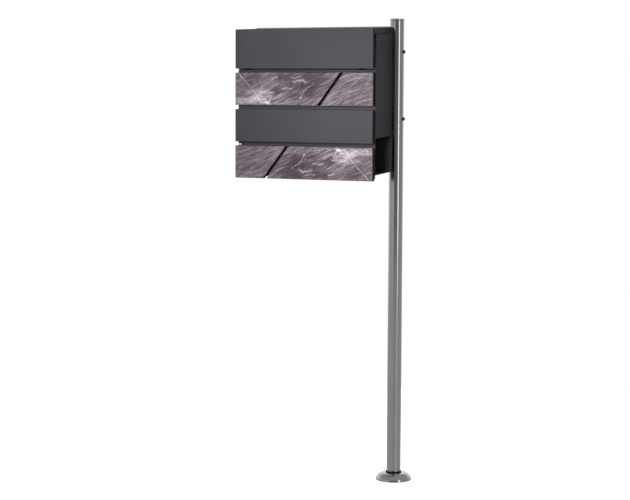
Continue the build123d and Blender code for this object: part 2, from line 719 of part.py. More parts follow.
def door_hinge_leaf(tile_bottom, moving):
    """One leaf of a short door hinge: the fixed one on the side wall, or the moving one on the door."""
    low, high = door_hinge_ends(tile_bottom)
    three = spans(low, high, 3)
    x, y = DOOR_AXIS_X, DOOR_AXIS_Y
    if moving:
        leaf = block(x + HINGE_EDGE, x + LEAF_W, PLATE - LEAF_T, PLATE, low, high)
        own = [three[1]]
    else:
        leaf = block(LEFT + SHEET, LEFT + SHEET + LEAF_T, y + HINGE_EDGE, y + LEAF_W, low, high)
        own = [three[0], three[2]]
    for a, b in own:
        if moving:
            leaf += block(x, x + HINGE_EDGE + WELD_LAP, PLATE - LEAF_T, PLATE, a, b)
        else:
            leaf += block(LEFT + SHEET, LEFT + SHEET + LEAF_T, y, y + HINGE_EDGE + WELD_LAP, a, b)
        leaf += rod((x, y, a), (x, y, b), KNUCKLE_R)
    return leaf - rod((x, y, low - 1), (x, y, high + 1), PIN_R + PIN_PLAY)


def door_hinge_pins():
    """A pin for each door hinge."""
    x, y = DOOR_AXIS_X, DOOR_AXIS_Y
    ends = [door_hinge_ends(tile) for tile in (MIDDLE_TILE, UPPER_TILE)]
    return group(rod((x, y, low - 1), (x, y, high + 1), PIN_R) for low, high in ends)


# Lock


def lock_rod(y0, y1, radius):
    """A round bar on the lock's axis."""
    return rod((LOCK_X, y0, LOCK_Z), (LOCK_X, y1, LOCK_Z), radius)


def lock_barrel():
    """The fixed barrel with its head in front of the rail."""
    barrel = lock_rod(PLATE - BARREL_HEAD_T, PLATE, BARREL_HEAD_R)
    barrel += lock_rod(PLATE, CAM_Y - CAM_GAP, BARREL_R)
    return barrel - lock_rod(PLATE - BARREL_HEAD_T - 1, CAM_Y, PLUG_R + PLUG_PLAY)


def lock_nut():
    """The flat nut that clamps the barrel to the rail."""
    seat = PLATE + SHEET
    nut = hex_bar((LOCK_X, seat, LOCK_Z), (LOCK_X, seat + LOCK_NUT_T, LOCK_Z), LOCK_NUT_AF)
    return nut - lock_rod(PLATE, seat + LOCK_NUT_T + 1, BARREL_R + TOUCH)


def lock_plug():
    """The turning plug, with its keyway in front and a square end for the cam."""
    front = PLATE - BARREL_HEAD_T + PLUG_SINK
    half = CAM_SQUARE / 2
    shoulder = CAM_Y - PLUG_END_PLAY
    plug = lock_rod(front, shoulder, PLUG_R)
    plug += block(LOCK_X - half, LOCK_X + half, shoulder, CAM_Y + CAM_T, LOCK_Z - half, LOCK_Z + half)
    width, height, depth = KEYWAY
    plug -= block(LOCK_X - width / 2, LOCK_X + width / 2, front - 1, front + depth,
                  LOCK_Z - height / 2, LOCK_Z + height / 2)
    return plug - lock_rod(CAM_Y - 2 * CAM_SCREW_R, CAM_Y + CAM_T + 1, CAM_SCREW_R + TOUCH)


def lock_cam():
    """The cam, lying level towards the box's middle when unlocked."""
    outline = SlotCenterToCenter(CAM_REACH - CAM_W / 2, CAM_W)
    middle = LOCK_X - (CAM_REACH - CAM_W / 2) / 2
    plane = Plane(origin=(middle, CAM_Y, LOCK_Z), x_dir=(1, 0, 0), z_dir=(0, 1, 0))
    cam = extrude(plane * outline, amount=CAM_T)
    half = CAM_SQUARE / 2 + TOUCH
    low, high = LOCK_Z - half, LOCK_Z + half
    return cam - block(LOCK_X - half, LOCK_X + half, CAM_Y - 1, CAM_Y + CAM_T + 1, low, high)


def cam_screw():
    """The screw that holds the cam on the plug."""
    head_y = CAM_Y + CAM_T + PLUG_END_PLAY
    shank = lock_rod(CAM_Y - 2 * CAM_SCREW_R + 0.5, head_y, CAM_SCREW_R)
    return shank + lock_rod(head_y, head_y + CAM_SCREW_HEAD_T, CAM_SCREW_HEAD_R)


save(post_tube(), "post_tube")
save(post_cap(), "post_cap")
save(base_plate(), "base_plate")
save(base_weld(), "base_weld")
save(base_rosette(), "base_rosette")
for node, height in zip(("bracket_lower", "bracket_upper"), BRACKET_HEIGHTS):
    save(bracket(height), node)
save(post_bolts(), "post_bolts")
save(post_bolt_washers(), "post_bolt_washers")
save(post_bolt_nuts(), "post_bolt_nuts")
save(bracket_screws(), "bracket_screws")
save(bracket_washers(), "bracket_washers")
save(bracket_nuts(), "bracket_nuts")
save(body_shell(), "body_shell")
save(mail_floor(), "mail_floor")
save(newspaper_trough(), "newspaper_trough")
save(lock_rail(), "lock_rail")
save(body_rivets(), "body_rivets")
save(lid(), "lid")
save(lid_bumpers(), "lid_bumpers")
save(lid_hinge_leaf(1, LID_SPANS[0::2]), "lid_hinge_fixed_leaf")
save(lid_hinge_leaf(-1, LID_SPANS[1::2]), "lid_hinge_moving_leaf")
save(lid_hinge_pin(), "lid_hinge_pin")
save(door_panel(), "door_panel")
for place, tile in (("lower", MIDDLE_TILE), ("upper", UPPER_TILE)):
    save(door_hinge_leaf(tile, moving=False), f"door_hinge_{place}_fixed_leaf")
    save(door_hinge_leaf(tile, moving=True), f"door_hinge_{place}_moving_leaf")
save(door_hinge_pins(), "door_hinge_pins")
for node, outline in TILES.items():
    save(tray(outline), node)
save(standoffs(UPPER_FIXINGS), "standoffs_upper")
save(standoffs(MIDDLE_FIXINGS), "standoffs_middle")
save(standoffs(LOWER_FIXINGS), "standoffs_lower")
save(tile_screws(MIDDLE_FIXINGS + UPPER_FIXINGS), "tile_screws_door")
save(tile_screws(LOWER_FIXINGS), "tile_screws_lower")
save(lock_barrel(), "lock_barrel")
save(lock_nut(), "lock_nut")
save(lock_plug(), "lock_plug")
save(lock_cam(), "lock_cam")
save(cam_screw(), "cam_screw")
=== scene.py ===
"""A sheet-steel letterbox with printed front bands, on a brushed stainless post.

Lengths of the pieces are written in millimetres and turned to metres by MM; the studio and the camera are
in metres. Z is up and the box faces -Y.
"""

import math

import bmesh
import bpy
import numpy as np
from mathutils import Matrix, Vector


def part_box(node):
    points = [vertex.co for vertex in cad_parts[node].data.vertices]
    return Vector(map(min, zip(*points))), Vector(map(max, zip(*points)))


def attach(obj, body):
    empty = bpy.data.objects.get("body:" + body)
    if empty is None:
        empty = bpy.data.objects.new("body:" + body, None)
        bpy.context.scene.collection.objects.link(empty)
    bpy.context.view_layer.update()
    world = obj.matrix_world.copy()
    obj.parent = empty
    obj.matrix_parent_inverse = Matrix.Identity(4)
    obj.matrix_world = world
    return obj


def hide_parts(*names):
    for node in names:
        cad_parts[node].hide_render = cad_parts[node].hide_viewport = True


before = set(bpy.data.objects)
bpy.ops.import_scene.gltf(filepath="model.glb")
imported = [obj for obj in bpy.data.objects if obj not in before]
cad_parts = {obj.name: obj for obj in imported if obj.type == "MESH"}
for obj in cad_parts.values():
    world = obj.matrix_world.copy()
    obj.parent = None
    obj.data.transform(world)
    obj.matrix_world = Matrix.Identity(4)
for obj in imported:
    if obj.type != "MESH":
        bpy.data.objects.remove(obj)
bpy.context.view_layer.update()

# ---------------------------------------------------------------------------------------------------------
# Post tube: stainless steel tube, 35 mm across with a 1.5 mm wall, ground all round with a fine belt.
# It is welded to the floor plate, and its sawn ends are lightly deburred.

MM = 0.001


def linear(code):
    """An sRGB hex colour as linear RGBA: each channel c becomes ((c + 0.055) / 1.055) ** 2.4, or c / 12.92
    where it is very dark."""
    channels = [int(code[i : i + 2], 16) / 255 for i in (1, 3, 5)]
    return [((c + 0.055) / 1.055) ** 2.4 if c > 0.04045 else c / 12.92 for c in channels] + [1.0]


def add_node(tree, kind, settings):
    """A shader node. Each setting is a property or an input of the node, and a setting that is another
    node's output is linked."""
    node = tree.nodes.new(kind)
    for key, value in settings.items():
        if isinstance(key, str) and hasattr(node, key):
            setattr(node, key, value)
        elif isinstance(value, bpy.types.NodeSocket):
            tree.links.new(value, node.inputs[key])
        else:
            node.inputs[key].default_value = value
    return node


def new_finish(name, settings):
    """A material with one Principled shader whose sockets have the given values."""
    material = bpy.data.materials.new(name)
    material.use_nodes = True
    shader = material.node_tree.nodes["Principled BSDF"]
    for key, value in settings.items():
        shader.inputs[key].default_value = value
    return material, material.node_tree, shader


def add_grain(tree, shader, colours, rough, grain, relief, stretch=(1, 1, 1), patch=60.0):
    """Two noises on Object coordinates. A fine one, with a grain in mm, gives relief and roughness, and
    with a broad one, with patches in mm, it shifts the colour between two hex values. stretch draws the
    grain out along X, Y and Z, and the relief is three tenths of the grain deep at full strength."""
    place = add_node(tree, "ShaderNodeTexCoord", {}).outputs["Object"]
    drawn = add_node(tree, "ShaderNodeMapping", {"Vector": place, "Scale": [1 / s for s in stretch]})
    fine = add_node(
        tree,
        "ShaderNodeTexNoise",
        {"Vector": drawn.outputs[0], "Scale": 1 / (grain * MM), "Detail": 3.0, "Roughness": 0.55},
    ).outputs["Fac"]
    broad = add_node(
        tree, "ShaderNodeTexNoise", {"Vector": place, "Scale": 1 / (patch * MM), "Detail": 2.0}
    ).outputs["Fac"]
    both = add_node(tree, "ShaderNodeMath", {"operation": "ADD", 0: fine, 1: broad})
    blend = add_node(
        tree, "ShaderNodeMapRange", {"Value": both.outputs[0], "From Min": 0.65, "From Max": 1.35}
    )
    tint = add_node(
        tree,
        "ShaderNodeMix",
        {"data_type": "RGBA", 0: blend.outputs[0], 6: linear(colours[0]), 7: linear(colours[1])},
    )
    tree.links.new(tint.outputs[2], shader.inputs["Base Color"])
    gloss = add_node(
        tree,
        "ShaderNodeMapRange",
        {"Value": fine, "From Min": 0.3, "From Max": 0.7, "To Min": rough[0], "To Max": rough[1]},
    )
    tree.links.new(gloss.outputs[0], shader.inputs["Roughness"])
    depth = 0.3 * grain * MM
    bump = add_node(tree, "ShaderNodeBump", {"Height": fine, "Strength": relief, "Distance": depth})
    tree.links.new(bump.outputs[0], shader.inputs["Normal"])


def eased(corners, radius, steps=4, closed=True):
    """A polyline of 2-D corners with an arc of the given radius at each one. The arc starts radius /
    tan(half the corner's angle) before the corner, but never past the middle of a side, and turns about the
    point where the two offset sides meet. Also gives the number of each point's corner."""
    corners = np.asarray(corners, float)
    count = len(corners)
    points, owners = [], []
    for i, corner in enumerate(corners):
        if not closed and i in (0, count - 1):
            points.append(corner[None])
            owners.append([i])
            continue
        back, on = corners[i - 1] - corner, corners[(i + 1) % count] - corner
        room = 0.48 * min(np.hypot(*back), np.hypot(*on))
        back, on = back / np.hypot(*back), on / np.hypot(*on)
        half = math.acos(np.clip(back @ on, -1, 1)) / 2
        reach = min(radius / math.tan(half), room)
        centre = corner + (back + on) / np.hypot(*(back + on)) * reach / math.cos(half)
        first, last = corner + back * reach - centre, corner + on * reach - centre
        start = math.atan2(first[1], first[0])
        turn = (math.atan2(last[1], last[0]) - start + math.pi) % (2 * math.pi) - math.pi
        angles = start + turn * np.linspace(0, 1, steps + 1)
        points.append(centre + np.hypot(*first) * np.stack([np.cos(angles), np.sin(angles)], 1))
        owners.append([i] * (steps + 1))
    return np.concatenate(points), np.concatenate(owners)


def turned(profile, centre, axis=(0, 0, 1), turns=96, flats=None, ripple=None):
    """A profile of (radius, height) points in mm turned about an axis through a centre in metres. Point
    (i, j) is centre + height_j * axis + radius_ij * (cos a_i * side + sin a_i * across), where a_i is
    2 pi i / turns. With flats, the radius stops at flats / 2 / cos(angle to the nearest flat's middle), as
    in a hexagon; a ripple adds to the radius. The profile starts and ends on the axis, or closes on itself
    as a ring. Also gives a chart of the surface, round by along, for the finish."""
    profile = np.asarray(profile, float)
    if profile[0, 0] > 0:
        profile = np.concatenate([profile, profile[:1]])
    axis = Vector(axis).normalized()
    side = axis.orthogonal().normalized()
    across = axis.cross(side)
    angle = 2 * math.pi * np.arange(turns + 1) / turns
    radius = np.repeat(profile[None, :, 0], turns + 1, 0)
    if flats:
        off = (angle + math.pi / 6) % (math.pi / 3) - math.pi / 6
        radius = np.minimum(radius, flats / 2 / np.cos(off)[:, None])
    if ripple is not None:
        radius = radius + ripple(angle[:, None], profile[None, :, 0], profile[None, :, 1])
    spoke = np.cos(angle)[:, None] * np.array(side) + np.sin(angle)[:, None] * np.array(across)
    points = radius[..., None] * spoke[:, None] + profile[None, :, 1, None] * np.array(axis)
    along = np.concatenate([[0], np.cumsum(np.hypot(*np.diff(profile, axis=0).T))])
    wide = profile[:, 0].max()
    chart = np.stack(np.broadcast_arrays(angle[:, None] * wide, along[None]), -1)
    return points * MM + np.array(centre), chart * MM


def quads(rows, columns):
    """Faces of a grid of rows x columns points."""
    at = np.arange(rows * columns).reshape(rows, columns)
    return np.stack([at[:-1, :-1], at[1:, :-1], at[1:, 1:], at[:-1, 1:]], -1).reshape(-1, 4)


MERGE = 1e-6


def piece(name, grids, finishes, body, nodes=(), coats=None, ink=None, recalculate=True, crease=35):
    """A mesh from one or more grids of points, merged along its seams and poles, that rides on a CAD body
    and stands in for CAD nodes. coats gives each face's finish number, or -1 for a face to leave out; ink
    gives layers of values for the finish at the points; edges sharper than crease degrees stay sharp."""
    points, faces, charts, start = [], [], [], 0
    for grid in grids:
        grid, chart = grid if isinstance(grid, tuple) else (grid, grid[..., :2])
        quad = quads(*grid.shape[:2])
        points.append(grid.reshape(-1, 3))
        faces.append(quad + start)
        charts.append(chart.reshape(-1, 2)[quad])
        start += points[-1].shape[0]
    points, faces, charts = np.concatenate(points), np.concatenate(faces), np.concatenate(charts)
    if coats is not None:
        faces, charts, coats = faces[coats >= 0], charts[coats >= 0], coats[coats >= 0]
    mesh = bpy.data.meshes.new(name)
    mesh.from_pydata(points, [], faces)
    mesh.uv_layers.new(name="UVMap").data.foreach_set("uv", charts.ravel())
    if coats is not None:
        mesh.polygons.foreach_set("material_index", coats)
    work = bmesh.new()
    work.from_mesh(mesh)
    bmesh.ops.remove_doubles(work, verts=work.verts, dist=MERGE)
    if recalculate:
        bmesh.ops.recalc_face_normals(work, faces=work.faces)
    work.to_mesh(mesh)
    work.free()
    if ink is not None:
        spots = np.empty(len(mesh.vertices) * 3)
        mesh.vertices.foreach_get("co", spots)
        for layer, values in ink(spots.reshape(-1, 3)).items():
            mesh.attributes.new(layer, "FLOAT", "POINT").data.foreach_set("value", values)
    mesh.shade_smooth()
    mesh.set_sharp_from_angle(angle=math.radians(crease))
    for finish in finishes:
        mesh.materials.append(finish)
    thing = bpy.data.objects.new(name, mesh)
    bpy.context.scene.collection.objects.link(thing)
    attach(thing, body)
    if nodes:
        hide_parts(*nodes)
    return thing


# Brushed stainless steel: reflections are sharp from side to side and drawn out up and down, because the
# belt's scratches run round the tube. Real scratches are 0.05 mm apart; 0.6 mm ones show in a render.
brushed_stainless, tree, shader = new_finish(
    "brushed stainless steel", {"Metallic": 1.0, "Anisotropic": 0.3, "Anisotropic Rotation": 0.25}
)
add_grain(tree, shader, ("#b6b6b5", "#c4c4c3"), (0.12, 0.18), 0.6, 0.03, stretch=(12, 12, 1), patch=140)
tangent = add_node(tree, "ShaderNodeTangent", {"direction_type": "UV_MAP", "uv_map": "UVMap"})
tree.links.new(tangent.outputs[0], shader.inputs["Tangent"])

tube_low, tube_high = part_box("post_tube")
TUBE_R = tube_high.x / MM
TUBE_WALL = 1.5
TUBE_EDGE = 0.3  # rounding of the sawn ends
foot, head = tube_low.z / MM, tube_high.z / MM
section = [(TUBE_R - TUBE_WALL, foot), (TUBE_R, foot), (TUBE_R, head), (TUBE_R - TUBE_WALL, head)]
outline, _ = eased(section, TUBE_EDGE, 3)
tube = [turned(outline, (0, 0, 0), turns=128)]
piece("tube", tube, [brushed_stainless], "root", ["post_tube"])

# ---------------------------------------------------------------------------------------------------------
# Post cap: a turned stainless cap with a slightly domed top, pushed into the tube on its plug. A narrow
# shadow gap stays between cap and tube.

cap_low, cap_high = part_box("post_cap")
CAP_DOME = 1.6
CAP_EDGE_H = 4.0
CAP_ROUND = 0.35
DOME_END = 0.96  # share of the radius at which the rounded edge takes over
PLUG_R = 15.9
cap_top, plug_foot = cap_high.z / MM, cap_low.z / MM
out = np.linspace(0, DOME_END, 12)
dome = np.stack([TUBE_R * out, cap_top - CAP_DOME * out**2], 1)
rim = [(TUBE_R, cap_top - CAP_DOME), (TUBE_R, cap_top - CAP_DOME - CAP_EDGE_H)]
under = [(PLUG_R, cap_top - CAP_DOME - CAP_EDGE_H), (PLUG_R, plug_foot), (0, plug_foot)]
edge, _ = eased([dome[-1], *rim, *under], CAP_ROUND, 3, closed=False)
cap = [turned(np.concatenate([dome[:-1], edge]), (0, 0, 0), turns=128)]
piece("cap", cap, [brushed_stainless], "root", ["post_cap"])

# ---------------------------------------------------------------------------------------------------------
# Floor plate and its weld: a flame-cut steel disc with three anchor holes, zinc plated. The weld bead round
# the tube's foot has the scales of a hand-held torch, one every 3 mm.

# Zinc plate: a dull blue-grey metal with soft cloudy patches, rougher than nickel.
zinc_plate, tree, shader = new_finish("zinc plated steel", {"Metallic": 1.0})
add_grain(tree, shader, ("#a7aaad", "#c3c6ca"), (0.32, 0.48), 0.8, 0.12, patch=9)


def dress(finish, nodes, ease=0.3):
    """Gives CAD nodes a finish, and rounds their edges by a width in mm once their triangles are joined."""
    for name in nodes:
        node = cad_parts[name]
        node.data.materials.clear()
        node.data.materials.append(finish)
        if ease:
            joined = node.modifiers.new("Joined", "WELD")
            joined.merge_threshold = MERGE
            bevel = node.modifiers.new("Eased", "BEVEL")
            bevel.width = ease * MM
            bevel.segments = 2
            bevel.limit_method = "ANGLE"
            bevel.angle_limit = math.radians(50)


dress(zinc_plate, ["base_plate"])

# Weld metal: rough and slightly straw-coloured from the heat.
weld_metal, tree, shader = new_finish("bare weld metal", {"Metallic": 1.0})
add_grain(tree, shader, ("#7d7568", "#9c978e"), (0.42, 0.6), 0.7, 0.4, patch=4)

WELD = 4.0  # height and width of the bead
WELD_ROOT = 0.2  # how far it reaches into the tube
SCALE_PITCH = 3.0
SCALE_DEPTH = 0.25
weld_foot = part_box("base_weld")[0].z / MM
scales = round(2 * math.pi * (TUBE_R + WELD) / SCALE_PITCH)
root_r = TUBE_R - WELD_ROOT
climb = np.linspace(0.15, math.pi / 2 - 0.05, 7)
bulging = np.stack([root_r + (WELD + WELD_ROOT) * np.cos(climb), weld_foot + WELD * np.sin(climb)], 1)
bead = np.concatenate([[(root_r, weld_foot), (TUBE_R + WELD, weld_foot)], bulging])


def scaled(angle, radius, height):
    """Scales of a weld bead: they cut in by SCALE_DEPTH * |sin(scales * angle / 2)|, and fade out where the
    bead meets the tube."""
    fade = np.clip((radius - TUBE_R) / WELD, 0, 1)
    return -SCALE_DEPTH * fade * np.abs(np.sin(scales * angle / 2))


weld = [turned(bead, (0, 0, 0), turns=scales * 8, ripple=scaled)]
piece("weld_bead", weld, [weld_metal], "root", ["base_weld"], crease=70)

# ---------------------------------------------------------------------------------------------------------
# Cover rosette: a thin domed cover of pressed and polished stainless steel that slides down the post and
# hides the floor plate. Its rim is rolled to a fine edge. A black ring round the tube at its neck is
# painted
# shade: it stands for the dark gap between the neck and the tube.

# Polished stainless: a near-mirror with the faintest haze.
polished_stainless, tree, shader = new_finish("polished stainless steel", {"Metallic": 1.0})
add_grain(tree, shader, ("#b7b7b6", "#c8c8c7"), (0.08, 0.13), 7, 0.12, patch=50)

rosette_low, rosette_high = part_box("base_rosette")
ROSETTE_R = rosette_high.x / MM
NECK_PLAY = 0.4
NECK_R = TUBE_R + NECK_PLAY
SHEET = 1.0
RIM_H = 3.0
RIM_ROUND = 0.35
LIP = 1.8  # the neck's turned lip
LIP_T = 0.4
LIP_ROUND = 0.6
BULGE = 0.30  # of the dome, as a share of its rise
DOME_STEPS = 28
lift, crown = rosette_low.z / MM, rosette_high.z / MM
bulge = BULGE * (crown - lift - RIM_H)


def arc_through(start, middle, end, steps):
    """Points on the arc through three points, whose centre is where the two chords' bisectors cross."""
    (ax, ay), (bx, by), (cx, cy) = start, middle, end
    span = 2 * (ax * (by - cy) + bx * (cy - ay) + cx * (ay - by))
    squares = ax * ax + ay * ay, bx * bx + by * by, cx * cx + cy * cy
    ox = (squares[0] * (by - cy) + squares[1] * (cy - ay) + squares[2] * (ay - by)) / span
    oy = (squares[0] * (cx - bx) + squares[1] * (ax - cx) + squares[2] * (bx - ax)) / span
    radius = math.hypot(ax - ox, ay - oy)
    angles = np.linspace(math.atan2(ay - oy, ax - ox), math.atan2(cy - oy, cx - ox), steps)
    return np.stack([ox + radius * np.cos(angles), oy + radius * np.sin(angles)], 1)


middle = ((ROSETTE_R + NECK_R) / 2 + bulge, (crown + lift + RIM_H) / 2 + bulge)
outer = arc_through((ROSETTE_R, lift + RIM_H), middle, (NECK_R + LIP, crown), DOME_STEPS)
outer = np.concatenate([outer, [(NECK_R + LIP_ROUND, crown - LIP_T), (NECK_R, crown - LIP)]])
inner_middle = (middle[0] - 0.5 * SHEET, middle[1] - SHEET)
rim_inside = (ROSETTE_R - SHEET, lift + RIM_H)
inner = arc_through((NECK_R, crown - LIP - LIP_T), inner_middle, rim_inside, DOME_STEPS)
rim_corners = [inner[-1], (ROSETTE_R - SHEET, lift), (ROSETTE_R, lift), outer[0]]
foot_ring, _ = eased(rim_corners, RIM_ROUND, 3, closed=False)
rosette_section = np.concatenate([outer[1:], inner[:-1], foot_ring])
rosette = [turned(rosette_section, (0, 0, 0), turns=160)]
piece("rosette", rosette, [polished_stainless], "rosette", ["base_rosette"])

# EPDM rubber: matt black with a fine moulded texture that scatters the light. It colours the real lid
# bumpers, and also the black neck ring, which is painted shade.
rubber_and_shade_black, tree, shader = new_finish("black EPDM rubber and painted shade", {"Specular IOR Level": 0.3})
add_grain(tree, shader, ("#0d0d0e", "#151516"), (0.75, 0.9), 0.6, 0.3, patch=4)

# The neck ring: a black ring round the tube on the rosette's crown, painted shade for the dark gap between
# the neck and the tube.
SHADE_RING_W = 1.7
SHADE_RING_H = 3.2
SHADE_RING_PLAY = 0.15  # between the ring and the tube
SHADE_RING_TOE = 0.2  # how far the ring's foot reaches under the lip
SHADE_RING_SINK = 0.3  # how far its shoulder sinks into the crown
SHADE_RING_ROUND = 0.3
shade_ring_foot = crown - SHADE_RING_SINK
shade_ring_corners = [
    (TUBE_R + SHADE_RING_PLAY, crown - LIP),
    (NECK_R + SHADE_RING_TOE, crown - LIP),
    (TUBE_R + SHADE_RING_W, shade_ring_foot),
    (TUBE_R + SHADE_RING_W, shade_ring_foot + SHADE_RING_H),
    (TUBE_R + SHADE_RING_PLAY, shade_ring_foot + SHADE_RING_H),
]
shade_ring, _ = eased(shade_ring_corners, SHADE_RING_ROUND, 3)
piece("neck_shade_ring", [turned(shade_ring, (0, 0, 0), turns=128)], [rubber_and_shade_black], "rosette")

# ---------------------------------------------------------------------------------------------------------
# Brackets and their fasteners: zinc plated steel angles between post and box. Blackened hexagon bolts run
# through the post, with their heads outside and nuts on the bracket; screws and more nuts hold the box.

dress(zinc_plate, ["bracket_upper", "bracket_lower"])

# Blackened steel: an oily black oxide with a low sheen.
black_oxide, tree, shader = new_finish("black oxide steel", {"Metallic": 0.6})
add_grain(tree, shader, ("#303032", "#434344"), (0.36, 0.5), 0.5, 0.15, patch=5)

dress(black_oxide, ["bracket_washers", "bracket_screws"])

BOLT_R = 2.0
BOLT_POINT = 0.6  # chamfer at the tip
HEAD_T = 2.8
THREAD_L = 12.0  # threaded stretch, from the tip
THREAD_PITCH = 0.7
THREAD_DEPTH = 0.35
FLATS = 7.0  # width of heads and nuts across their flats
BORE_CHAMFER = 0.3
WASHER_R = 4.5
WASHER_T = 0.8
WASHER_PLAY = 0.1
WASHER_EASE = 0.15


def hex_end(end, inwards):
    """Profile of a hexagon's chamfered end, from its face: a circle just inside the flats, then one between
    flats and corners 0.12 mm down, and 0.5 mm down one past the corners, where the flats take over."""
    half = FLATS / 2
    return [(half * 0.95, end), (half * 1.08, end + 0.12 * inwards), (FLATS, end + 0.5 * inwards)]


def nut(bore, start, end):
    """Section of a hexagon nut: bore and corners are chamfered at both ends."""
    near = [(bore + BORE_CHAMFER, start), *hex_end(start, 1)]
    far = [(bore + BORE_CHAMFER, end), *hex_end(end, -1)]
    return near + far[::-1] + [(bore, end - BORE_CHAMFER), (bore, start + BORE_CHAMFER)]


def washer(start):
    """Section of a flat ring with eased edges."""
    bore, end = BOLT_R + WASHER_PLAY, start + WASHER_T
    return eased([(bore, start), (WASHER_R, start), (WASHER_R, end), (bore, end)], WASHER_EASE, 2)[0]


# The bolts sit at the middle height of each bracket. A bolt's profile runs from its tip to its head, and
# its thread is rings, with crests and roots by turns.
levels = [sum(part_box(name), Vector()).z / 2 for name in ("bracket_lower", "bracket_upper")]
bolts_low, bolts_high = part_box("post_bolts")
tip, head_top = bolts_low.x / MM, bolts_high.x / MM
head_foot = head_top - HEAD_T
rings = np.arange(tip + BOLT_POINT, tip + THREAD_L, THREAD_PITCH / 2)
thread = np.stack([BOLT_R - THREAD_DEPTH * (np.arange(len(rings)) % 2), rings], 1)
bolt = [(0, tip), (BOLT_R - BOLT_POINT, tip), *thread, (BOLT_R, rings[-1] + THREAD_PITCH)]
bolt += [(BOLT_R, head_foot), (FLATS, head_foot), *hex_end(head_top, -1)[::-1], (0, head_top)]
rods = [turned(bolt, (0, 0, z), (1, 0, 0), 72, FLATS) for z in levels]
piece("through_bolts", rods, [black_oxide], "root", ["post_bolts"])

nuts_low, nuts_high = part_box("post_bolt_nuts")
nut_section = nut(BOLT_R, nuts_low.x / MM, nuts_high.x / MM)
nuts = [turned(nut_section, (0, 0, z), (1, 0, 0), 72, FLATS) for z in levels]
piece("through_nuts", nuts, [black_oxide], "root", ["post_bolt_nuts"])

washers_low, washers_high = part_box("post_bolt_washers")
washer_sections = [washer(washers_low.x / MM), washer(washers_high.x / MM - WASHER_T)]
washers = [turned(section, (0, 0, z), (1, 0, 0), 64) for section in washer_sections for z in levels]
piece("through_washers", washers, [black_oxide], "root", ["post_bolt_washers"])

wall_low, wall_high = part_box("bracket_nuts")
wall_x = (wall_low.x + wall_high.x) / 2
wall_section = nut(BOLT_R, wall_low.y / MM, wall_high.y / MM)
wall_nuts = [turned(wall_section, (wall_x, 0, z), (0, 1, 0), 72, FLATS) for z in levels]
piece("wall_nuts", wall_nuts, [black_oxide], "root", ["bracket_nuts"])

# ---------------------------------------------------------------------------------------------------------
# Box: back wall, side walls, floor, newspaper trough, lock rail and door plate are 1 mm galvanised steel
# sheet, laser-cut, folded and powder coated in anthracite.

# Anthracite powder coat: a satin coat with a fine orange peel, about 0.8 mm from dimple to dimple.
anthracite, tree, shader = new_finish("anthracite powder coat", {"IOR": 1.5, "Specular IOR Level": 0.15})
add_grain(tree, shader, ("#3d3c40", "#424145"), (0.46, 0.56), 0.8, 0.10, patch=90)

# Black powder coat, on the returns of the lid's front and the bands: nearly black, with hardly any gloss.
black_coat, tree, shader = new_finish("black powder coat", {"IOR": 1.5, "Specular IOR Level": 0.1})
add_grain(tree, shader, ("#050506", "#090909"), (0.6, 0.72), 0.8, 0.10, patch=60)

dress(anthracite, ["body_shell", "mail_floor", "newspaper_trough", "lock_rail", "door_panel"])

# ---------------------------------------------------------------------------------------------------------
# Lid: roof, front and lower return folded from one powder-coated steel sheet, and hung from a hinge at the
# back. The cheeks hang down beside the box; those of the front are black, like the bands' returns below.

lid_low, lid_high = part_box("lid")
left, right = lid_low.x / MM, lid_high.x / MM
face, lid_bottom = lid_low.y / MM, lid_low.z / MM
BEND = 1.6
FOLD_R = BEND + 0.5  # more than a bend's drop, so that nothing folds over on the inside of a fold
TRAY = 13.0
CHEEK = 14.0  # how far the cheeks reach down
CHEEK_FOOT = 3.0  # from the lid's lower edge up to the cheeks' end
CHEEK_SETBACK = 0.1  # of the front cheeks from the return's rear edge
HINGE_GAP = 2.8  # from the hinge's axis to the sheet
ROOF_RISE = 6.0
ROOF_FRONT_H = 96.0
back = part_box("body_shell")[1].y / MM
hinge_y = (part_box("lid_hinge_pin")[0].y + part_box("lid_hinge_pin")[1].y) / 2 / MM
slope = ROOF_RISE / (back - face)


def roof(y):
    """Height of the roof's top face at a depth: it rises evenly from the front fold."""
    return lid_bottom + ROOF_FRONT_H + slope * (y - face)


def bent_across(reach, low, high, steps, spread=1):
    """Places across a tray or lid: the return's edge, a bend, the flat, a bend and the other return's edge.
    On the bend, inset = reach * (1 - cos b) and drop = reach * (1 - sin b), with b from 0 to 90 degrees.
    Gives the place and the drop, which is not a number at the returns' edges."""
    b = np.linspace(0, math.pi / 2, steps + 1)
    inset, drop = reach * (1 - np.cos(b)), reach * (1 - np.sin(b))
    flat = np.linspace(low + reach, high - reach, spread + 1)[1:-1]
    place = np.concatenate([[low], low + inset, flat, high - inset[::-1], [high]])
    depth = np.concatenate([[np.nan], drop, 0 * flat, drop[::-1], [np.nan]])
    return place, depth


def at_ends(count):
    """True for the first and the last of a number of cells."""
    cell = np.arange(count)
    return (cell == 0) | (cell == count - 1)


